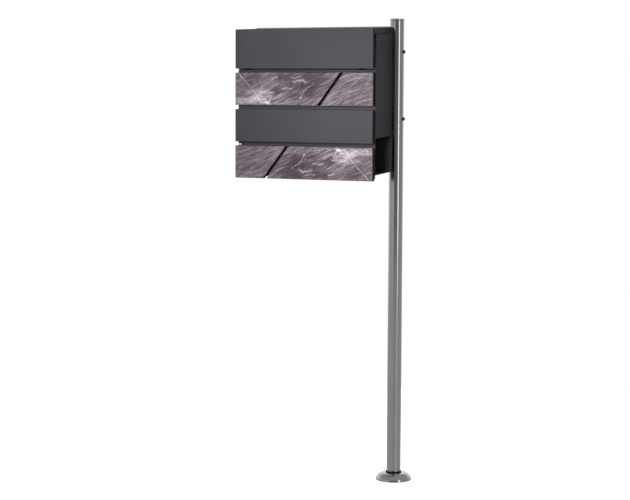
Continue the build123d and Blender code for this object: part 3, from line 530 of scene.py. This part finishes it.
# The lid's section is carried along the path of its folds: point (i, j) is path_i + drop_j * inward_i, and
# inward_i is square to the path, lengthened at a corner so that both sides keep their distance.
rear = hinge_y - HINGE_GAP
front_inner = face + TRAY - CHEEK_SETBACK
folds = [(rear, roof(rear)), (face, roof(face)), (face, lid_bottom), (face + TRAY, lid_bottom)]
path, owner = eased(folds, FOLD_R, 5, closed=False)
cheek_ends = np.array(
    [
        (hinge_y, roof(hinge_y) - CHEEK),
        (front_inner, roof(front_inner) - CHEEK),
        (front_inner, lid_bottom + CHEEK_FOOT),
        (face + TRAY, lid_bottom + CHEEK_FOOT),
    ]
)
ways = np.diff(path, axis=0)
ways /= np.hypot(*ways.T)[:, None]
before, after = np.concatenate([ways[:1], ways]), np.concatenate([ways, ways[-1:]])
inward = np.stack([-(before + after)[:, 1], (before + after)[:, 0]], 1)
inward /= (1 + (before * after).sum(1))[:, None]
across, drop = bent_across(BEND, left, right, 5, 6)
cheek = np.isnan(drop)
profile = path[:, None] + inward[:, None] * np.nan_to_num(drop)[None, :, None]
profile[:, cheek] = cheek_ends[owner][:, None]
lid_grid = np.empty((len(path), len(across), 3))
lid_grid[..., 0] = across
lid_grid[..., 1:] = profile
on_cheek = at_ends(len(across) - 1)
on_front = owner[1:] >= 2
lid = piece(
    "lid_cover",
    [lid_grid * MM],
    [anthracite, black_coat],
    "lid",
    ["lid"],
    coats=np.where(on_front[:, None] & on_cheek, 1, 0).ravel(),
    recalculate=False,
)


def give_wall(thing, inner_finish=0):
    """Gives a folded surface its sheet thickness, inwards from the outer face."""
    wall = thing.modifiers.new("Sheet", "SOLIDIFY")
    wall.thickness = SHEET * MM
    wall.offset = -1
    wall.material_offset = inner_finish
    wall.material_offset_rim = inner_finish


give_wall(lid)

# ---------------------------------------------------------------------------------------------------------
# Front bands: shallow trays folded from sheet steel, with black returns, standing about 18 mm proud on
# studs. The top and bottom bands are printed as marble and cut by a slanting slot; the middle one is plain.

# Printed steel: a digital marble print under a satin clear coat. The print has mauve-grey stone with darker
# clouds, streaks that rise to the right, and white cracks; its dots are too fine to show. The print's
# layers come with the mesh, so the marble stays on its band when the door opens.
printed_steel, tree, shader = new_finish(
    "marble print on steel",
    {"Roughness": 0.42, "Specular IOR Level": 0.4, "Coat Weight": 0.15, "Coat Roughness": 0.3},
)
run = add_node(tree, "ShaderNodeAttribute", {"attribute_name": "print_run"}).outputs["Fac"]
rise = add_node(tree, "ShaderNodeAttribute", {"attribute_name": "print_rise"}).outputs["Fac"]
cloud = add_node(tree, "ShaderNodeAttribute", {"attribute_name": "print_cloud"}).outputs["Fac"]
crack = add_node(tree, "ShaderNodeAttribute", {"attribute_name": "print_crack"}).outputs["Fac"]
spot = add_node(tree, "ShaderNodeCombineXYZ", {"X": run, "Y": rise}).outputs[0]

# Two sizes of streak, in mm along and across, give the stone its shade; the clouds lighten or darken it.
STREAKS = (34, 4.5), (9, 1.3)
STREAK_RISE = math.radians(24)
streaks = []
for size, detail in zip(STREAKS, (5.0, 3.0)):
    drawn = add_node(
        tree,
        "ShaderNodeMapping",
        {"vector_type": "TEXTURE", "Vector": spot, "Rotation": (0, 0, STREAK_RISE), "Scale": (*size, 1)},
    )
    streak = add_node(
        tree,
        "ShaderNodeTexNoise",
        {"Vector": drawn.outputs[0], "Scale": 1.0, "Detail": detail, "Roughness": 0.65, "Distortion": 0.5},
    )
    streaks.append(streak.outputs["Fac"])
stone = add_node(
    tree, "ShaderNodeMath", {"operation": "MULTIPLY_ADD", 0: streaks[1], 1: 0.5, 2: streaks[0]}
)
clouded = add_node(tree, "ShaderNodeMath", {"operation": "ADD", 0: stone.outputs[0], 1: cloud})
shades = add_node(tree, "ShaderNodeValToRGB", {"Fac": clouded.outputs[0]})
STONE = {0.45: "#342a30", 0.66: "#544a50", 0.84: "#776d74", 1.0: "#a49ca3"}
stops = shades.color_ramp.elements
stops[0].position = min(STONE)
for place in sorted(STONE)[1:-1]:
    stops.new(place)
for stop, place in zip(stops, sorted(STONE)):
    stop.color = linear(STONE[place])

# White flecks, under 2 mm across, are added to the cracks, and the print is white where the sum is high.
FLECK = 5 / 3
dust = add_node(
    tree,
    "ShaderNodeTexNoise",
    {"Vector": spot, "Scale": 1 / FLECK, "Detail": 6.0, "Roughness": 1.0, "Distortion": 0.3},
)
bright = add_node(
    tree, "ShaderNodeMath", {"operation": "MULTIPLY_ADD", 0: dust.outputs["Fac"], 1: 2.6, 2: crack}
)
white = add_node(
    tree,
    "ShaderNodeMapRange",
    {"Value": bright.outputs[0], "From Min": 1.58, "From Max": 1.95, "To Max": 0.85},
)
inked = add_node(
    tree,
    "ShaderNodeMix",
    {"data_type": "RGBA", 0: white.outputs[0], 6: shades.outputs[0], 7: linear("#d2cccf")},
)
tree.links.new(inked.outputs[2], shader.inputs["Base Color"])

# Cracks of the marble as strokes of (run, rise) points in mm from the band's lower left corner, each with
# its width and strength; clouds as (run, rise, half length, half height, lightness).
BAND_W, BAND_H = 370.0, 80.0
STROKES = [
    ([(9, 78), (27, 60), (46, 41), (60, 24), (66, 12)], 0.6, 0.62),
    ([(60, 24), (64, 33), (72, 42), (76, 52), (93, 57), (110, 69)], 1.6, 0.40),
    ([(60, 24), (54, 30), (44, 30), (30, 36)], 1.6, 0.34),
    ([(64, 27), (78, 33), (97, 31), (102, 24), (95, 11), (88, 6)], 1.8, 0.46),
    ([(60, 22), (68, 24), (82, 20), (96, 24)], 2.4, 0.44),
    ([(62, 22), (66, 14), (74, 7), (90, 7)], 2.2, 0.50),
    ([(0, 14), (22, 15), (45, 11), (64, 15), (70, 8)], 3.0, 0.40),
    ([(2, 5), (30, 7), (58, 5)], 2.4, 0.36),
    ([(84, 7), (93, 6)], 2.4, 0.95),
    ([(96, 18), (118, 20), (134, 27), (146, 30)], 1.6, 0.34),
    ([(174, 13), (180, 19), (186, 30), (192, 40), (203, 46), (215, 53)], 0.5, 0.58),
    ([(180, 19), (180.5, 19.5)], 1.4, 0.95),
    ([(176, 30), (184, 36), (196, 38)], 1.4, 0.34),
    ([(234, 51), (250, 55), (262, 66), (276, 73)], 0.8, 0.48),
    ([(160, 57), (170, 60), (182, 62), (194, 57)], 2.6, 0.46),
    ([(130, 41), (146, 42), (156, 40)], 2.2, 0.40),
    ([(150, 68), (166, 67), (180, 71)], 1.2, 0.46),
    ([(103, 66), (116, 68)], 2.0, 0.45),
    ([(128, 5), (150, 9), (176, 10)], 1.0, 0.46),
    ([(110, 6), (124, 3)], 1.6, 0.42),
    ([(282, 43), (295, 55), (315, 65), (350, 68)], 1.0, 0.38),
    ([(292, 70), (330, 77), (366, 76)], 0.9, 0.42),
    ([(70, 30), (75, 35)], 1.6, 0.62),
    ([(52, 16), (60, 19)], 2.0, 0.60),
    ([(76, 15), (84, 13)], 2.2, 0.60),
    ([(98, 30), (105, 33)], 1.3, 0.58),
    ([(38, 9), (48, 6)], 1.8, 0.52),
    ([(10, 9), (20, 6)], 2.0, 0.52),
    ([(110, 48), (119, 53)], 1.1, 0.52),
    ([(120, 24), (127, 29)], 1.1, 0.54),
    ([(286, 18), (318, 34), (352, 44), (369, 46)], 1.6, 0.26),
    ([(238, 8), (262, 22), (280, 36)], 1.6, 0.28),
]
CLOUDS = [
    (340, 40, 60, 60, -0.05),
    (200, 60, 64, 26, -0.24),
    (205, 32, 24, 14, -0.16),
    (115, 36, 16, 8, -0.22),
    (80, 22, 7, 6, -0.25),
    (50, 66, 24, 14, -0.14),
    (130, 70, 40, 10, -0.10),
    (160, 22, 30, 12, -0.12),
    (72, 22, 22, 18, 0.20),
    (30, 12, 34, 9, 0.14),
    (16, 40, 18, 22, -0.04),
    (250, 20, 26, 22, 0.06),
]


def print_layers(run, rise):
    """The print at places on its band. A crack is strength / (1 + (distance to the stroke / width) ** 2),
    the greatest of all strokes, and two sines make it wander by about a millimetre. A cloud is lightness *
    exp(-(run from its middle / half length) ** 2 - (rise from its middle / half height) ** 2), and clouds
    add up."""
    wander = 0.8 * np.sin(run / 2.3 + 0.6 * np.sin(rise / 1.7)) + 0.5 * np.sin(run / 0.9 + rise / 1.3)
    spot = np.stack([run + 0.5 * wander, rise + wander], 1)
    crack = np.zeros(len(run))
    for points, width, strength in STROKES:
        points = np.array(points, float)
        for start, end in zip(points, points[1:]):
            way = end - start
            share = np.clip((spot - start) @ way / (way @ way), 0, 1)
            gap = np.hypot(*(spot - start - share[:, None] * way).T)
            crack = np.maximum(crack, strength / (1 + (gap / width) ** 2))
    cloud = np.zeros(len(run))
    for middle, height, half, tall, light in CLOUDS:
        cloud += light * np.exp(-(((run - middle) / half) ** 2) - ((rise - height) / tall) ** 2)
    return {"print_run": run, "print_rise": rise, "print_crack": crack, "print_cloud": cloud}


def tray(name, node, low_span, high_span, step, finishes, body, upside_down=False):
    """A front band as one surface. low_span and high_span are its ends along X at its lower and upper edge.
    The places across are worked out for a nominal width: what lies in a bend keeps its distance from the
    band's end, measured square to that edge, and the flat between is stretched to fit. Point (i, j) has
    y = face + max(drop_i, drop_j). The corner cells, which would fold into nothing, are left out."""
    low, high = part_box(node)
    bottom, top = low.z / MM, high.z / MM
    rows = round((top - bottom) / step) if step else 1
    columns = round((low_span[1] - low_span[0]) / step) if step else 1
    nominal = 1000.0
    height, drop_z = bent_across(BEND, bottom, top, 4, rows)
    along, drop_x = bent_across(BEND, 0, nominal, 4, columns)
    drop_z, drop_x = np.nan_to_num(drop_z, nan=TRAY), np.nan_to_num(drop_x, nan=TRAY)
    up = ((height - bottom) / (top - bottom))[:, None]
    starts, ends = (a + up * (b - a) for a, b in zip(low_span, high_span))
    lean_start, lean_end = (math.hypot(1, (b - a) / (top - bottom)) for a, b in zip(low_span, high_span))
    first, last = starts + BEND * lean_start, ends - BEND * lean_end
    x = first + np.clip((along - BEND) / (nominal - 2 * BEND), 0, 1) * (last - first)
    x = np.where(along <= BEND, starts + along * lean_start, x)
    x = np.where(along >= nominal - BEND, ends - (nominal - along) * lean_end, x)
    y = face + np.maximum(drop_z[:, None], drop_x)
    grid = np.stack(np.broadcast_arrays(x, y, height[:, None]), -1)
    row_end, column_end = at_ends(len(height) - 1)[:, None], at_ends(len(along) - 1)
    coats = np.where(row_end | column_end, 1, 0)
    coats[row_end & column_end] = -1

    def ink(points):
        """The print at points of the mesh; an upside-down band has it turned by half a turn."""
        run, rise = points[:, 0] / MM - left, points[:, 2] / MM - bottom
        if upside_down:
            run, rise = BAND_W - run, BAND_H - rise
        return print_layers(run, rise)

    made = piece(
        name,
        [grid[::-1] * MM],
        finishes,
        body,
        [node],
        coats=coats.ravel(),
        ink=ink if step else None,
        recalculate=False,
    )
    give_wall(made, 1)


SLOT_W = 10.0  # measured level
SLOT_LEAN = 61.0  # how far a slot leans sideways over a band's height
SLOT_INSET = 112.0  # from a slot's middle to the band's nearer end
PRINT_STEP = 1.0  # between the points that carry the print


def slot_ends(middle):
    """A slot's two sides along X, each as (at the bottom, at the top): half its lean to either side of its
    middle, and half its width to the left or right of that."""
    half, lean = SLOT_W / 2, SLOT_LEAN / 2
    return (middle - lean - half, middle + lean - half), (middle - lean + half, middle + lean + half)


for band, body, middle, turned_over, tile_sizes in (
    ("upper", "door", right - SLOT_INSET, False, ("long", "short")),
    ("lower", "root", left + SLOT_INSET, True, ("short", "long")),
):
    (low_a, high_a), (low_b, high_b) = slot_ends(middle)
    spans = ((left, low_a), (left, high_a)), ((low_b, right), (high_b, right))
    for side, size, (low_span, high_span) in zip(("left", "right"), tile_sizes, spans):
        tray(
            f"band_{band}_{side}",
            f"tile_{band}_{size}",
            low_span,
            high_span,
            PRINT_STEP,
            [printed_steel, black_coat],
            body,
            turned_over,
        )
tray(
    "band_middle",
    "tile_middle",
    (left, right),
    (left, right),
    0,
    [anthracite, black_coat],
    "door",
)

dress(zinc_plate, ["standoffs_upper", "standoffs_middle", "standoffs_lower"], 0)
dress(black_oxide, ["tile_screws_door", "tile_screws_lower"], 0)

# ---------------------------------------------------------------------------------------------------------
# Hinges: rolled steel leaves on steel pins, zinc plated and spot-welded to the sheets. The lid's hinge runs
# along its whole rear edge; the door has two short ones at its left edge.

hinge_nodes = ["lid_hinge_fixed_leaf", "lid_hinge_moving_leaf", "lid_hinge_pin", "door_hinge_pins"]
for place in ("upper", "lower"):
    hinge_nodes += [f"door_hinge_{place}_{leaf}_leaf" for leaf in ("fixed", "moving")]
dress(zinc_plate, hinge_nodes, 0)

# ---------------------------------------------------------------------------------------------------------
# Rivets: steel rivets with a flat head on each side, blackened like the bolts. They join the flanges of the
# mail floor and the newspaper trough to the back wall, and to each other behind the front plate.

dress(black_oxide, ["body_rivets"], 0)

# ---------------------------------------------------------------------------------------------------------
# Lid bumpers: two moulded pads of black EPDM rubber under the lid's lower return. Their stems are pushed
# through holes in the sheet.

dress(rubber_and_shade_black, ["lid_bumpers"], 0.5)

# ---------------------------------------------------------------------------------------------------------
# Cam lock: a die-cast and nickel-plated barrel in the rail, clamped from behind by a flat nut. A plug turns
# in it and carries a steel cam, held by a screw.

# Nickel plate: a warm, fairly sharp metal reflection.
nickel, tree, shader = new_finish("nickel plate", {"Metallic": 1.0})
add_grain(tree, shader, ("#b9b1a2", "#cdc6b8"), (0.16, 0.24), 0.6, 0.04, patch=8)
dress(nickel, ["lock_barrel", "lock_nut", "lock_plug", "cam_screw"], 0.2)
dress(zinc_plate, ["lock_cam"], 0.2)

# ---------------------------------------------------------------------------------------------------------
# Studio: a pale floor disc and a surround of white walls, grey flags and one narrow strip light, with three
# softboxes. The floor doesn't show in reflections, so the flags alone shade the post and the rosette.

# Matt white paint, lit a little from below like a light table.
floor_paint, tree, shader = new_finish(
    "matt white floor", {"Roughness": 0.9, "Specular IOR Level": 0.1, "Emission Strength": 0.75}
)
shader.inputs["Base Color"].default_value = linear("#f4f4f4")
shader.inputs["Emission Color"].default_value = linear("#ffffff")
FLOOR_R = 1.3
FLOOR_DROP = 0.0002
radii = np.array([0, 0.3, 0.8, FLOOR_R])[:, None]
angle = np.linspace(0, 2 * math.pi, 97)
floor_grid = np.stack(np.broadcast_arrays(radii * np.cos(angle), radii * np.sin(angle), -FLOOR_DROP), -1)
floor_mesh = bpy.data.meshes.new("floor")
floor_mesh.from_pydata(floor_grid.reshape(-1, 3), [], quads(len(radii), len(angle)))
floor_mesh.materials.append(floor_paint)
floor = bpy.data.objects.new("floor", floor_mesh)
bpy.context.scene.collection.objects.link(floor)
floor.visible_glossy = False
floor.visible_diffuse = False

# The surround's brightness by bearing, in degrees from FRONT, which is itself in degrees from -Y towards
# +X: dark flags in front, a narrow strip light to their right, and white behind. A ramp is meant for values
# up to 1, so it holds shares of BRIGHTEST.
FRONT = 25.0
BRIGHTEST = 3.0
FLAGS = [
    (-180, 1.3),
    (-150, 1.2),
    (-121, 0.90),
    (-94, 0.62),
    (-60, 0.58),
    (-42, 0.78),
    (-32, 0.38),
    (-24, 0.17),
    (8, 0.17),
    (18, 0.25),
    (28, 0.40),
    (31, 3.0),
    (40, 3.0),
    (43, 0.45),
    (54, 0.42),
    (94, 0.46),
    (112, 0.55),
    (130, 0.9),
    (150, 1.3),
]
world = bpy.data.worlds.new("studio surround")
bpy.context.scene.world = world
world.use_nodes = True
tree = world.node_tree
tree.nodes.clear()
way = add_node(tree, "ShaderNodeTexCoord", {}).outputs["Generated"]
to_front = (0, 0, math.radians(-FRONT))
turn = add_node(tree, "ShaderNodeMapping", {"vector_type": "POINT", "Vector": way, "Rotation": to_front})
parts = add_node(tree, "ShaderNodeSeparateXYZ", {"Vector": turn.outputs[0]})
forward = add_node(tree, "ShaderNodeMath", {"operation": "MULTIPLY", 0: parts.outputs["Y"], 1: -1.0})
bearing = add_node(
    tree, "ShaderNodeMath", {"operation": "ARCTAN2", 0: parts.outputs["X"], 1: forward.outputs[0]}
)
round_share = add_node(
    tree, "ShaderNodeMapRange", {"Value": bearing.outputs[0], "From Min": -math.pi, "From Max": math.pi}
)
flags = add_node(tree, "ShaderNodeValToRGB", {"Fac": round_share.outputs[0]})
stops = flags.color_ramp.elements
stops[-1].position = (FLAGS[-1][0] + 180) / 360
for degrees, light in FLAGS[1:-1]:
    stops.new((degrees + 180) / 360)
for stop, (degrees, light) in zip(stops, FLAGS):
    stop.color = (light / BRIGHTEST, light / BRIGHTEST, light / BRIGHTEST, 1)
walls = add_node(tree, "ShaderNodeMath", {"operation": "MULTIPLY", 0: flags.outputs[0], 1: BRIGHTEST})

# Above and below, the walls fade into an even ceiling and an even ground.
CEILING = 0.45
GROUND = 0.52
upward = add_node(
    tree,
    "ShaderNodeMapRange",
    {"interpolation_type": "SMOOTHSTEP", "Value": parts.outputs["Z"], "From Min": 0.35, "From Max": 0.75},
)
roofed = add_node(tree, "ShaderNodeMix", {0: upward.outputs[0], 2: walls.outputs[0], 3: CEILING})
downward = add_node(
    tree,
    "ShaderNodeMapRange",
    {"Value": parts.outputs["Z"], "From Min": -0.20, "From Max": 0.0, "To Min": 0.87, "To Max": 0.0},
)
grounded = add_node(tree, "ShaderNodeMix", {0: downward.outputs[0], 2: roofed.outputs[0], 3: GROUND})

# Matt surfaces get only a share of the surround, so that the softboxes model them. What is seen past the
# object is plain white.
MATT_SHARE = 0.45
path = add_node(tree, "ShaderNodeLightPath", {})
matt = add_node(
    tree,
    "ShaderNodeMapRange",
    {"Value": path.outputs["Is Diffuse Ray"], "To Min": 1.0, "To Max": MATT_SHARE},
)
glow = add_node(
    tree, "ShaderNodeMath", {"operation": "MULTIPLY", 0: grounded.outputs[0], 1: matt.outputs[0]}
)
surround = add_node(tree, "ShaderNodeBackground", {"Strength": glow.outputs[0]})
plain = add_node(tree, "ShaderNodeBackground", {"Color": (1, 1, 1, 1), "Strength": 1.0})
seen = add_node(
    tree,
    "ShaderNodeMixShader",
    {0: path.outputs["Is Camera Ray"], 1: surround.outputs[0], 2: plain.outputs[0]},
)
add_node(tree, "ShaderNodeOutputWorld", {"Surface": seen.outputs[0]})


def soft_light(name, place, target, size, watts):
    """A square softbox that points at a target and doesn't show in reflections. Lengths are in metres."""
    lamp = bpy.data.lights.new(name, "AREA")
    lamp.size = size
    lamp.energy = watts
    thing = bpy.data.objects.new(name, lamp)
    thing.location = place
    thing.rotation_euler = (Vector(target) - Vector(place)).to_track_quat("-Z", "Y").to_euler()
    thing.visible_camera = False
    thing.visible_glossy = False
    bpy.context.scene.collection.objects.link(thing)


soft_light("key", (-0.02, -0.80, 0.98), (-0.04, -0.1, 0.92), 0.3, 8.0)
soft_light("top", (-0.3, -0.4, 2.6), (-0.2, -0.1, 0), 1.2, 12)
soft_light("rear", (-1.4, 1.3, 1.5), (-0.2, 0, 0.9), 0.9, 22)

# ---------------------------------------------------------------------------------------------------------
# Camera: a long lens near the height of the box and well to its right. It looks down a little, and a small
# lens shift brings the post's foot into the frame.

TURN = math.radians(25.01)
TILT = math.radians(4.63)
ROLL = math.radians(0.263)
CAMERA_PLACE = (1.592, -3.884, 0.974)
ahead = Vector((-math.sin(TURN) * math.cos(TILT), math.cos(TURN) * math.cos(TILT), -math.sin(TILT)))
level_right = Vector((math.cos(TURN), math.sin(TURN), 0))
level_up = level_right.cross(ahead)
camera_right = level_right * math.cos(ROLL) + level_up * math.sin(ROLL)
camera_up = level_up * math.cos(ROLL) - level_right * math.sin(ROLL)
lens = bpy.data.cameras.new("camera")
camera = bpy.data.objects.new("camera", lens)
lens.sensor_width = 36.0
lens.lens = 97.142857
lens.shift_y = -0.0380952
lens.clip_end = 50
axes = zip(camera_right, camera_up, -ahead)
rows = [(*row, place) for row, place in zip(axes, CAMERA_PLACE)]
camera.matrix_world = Matrix([*rows, (0, 0, 0, 1)])
bpy.context.scene.collection.objects.link(camera)
bpy.context.scene.camera = camera
bpy.context.scene.view_settings.view_transform = "Standard"
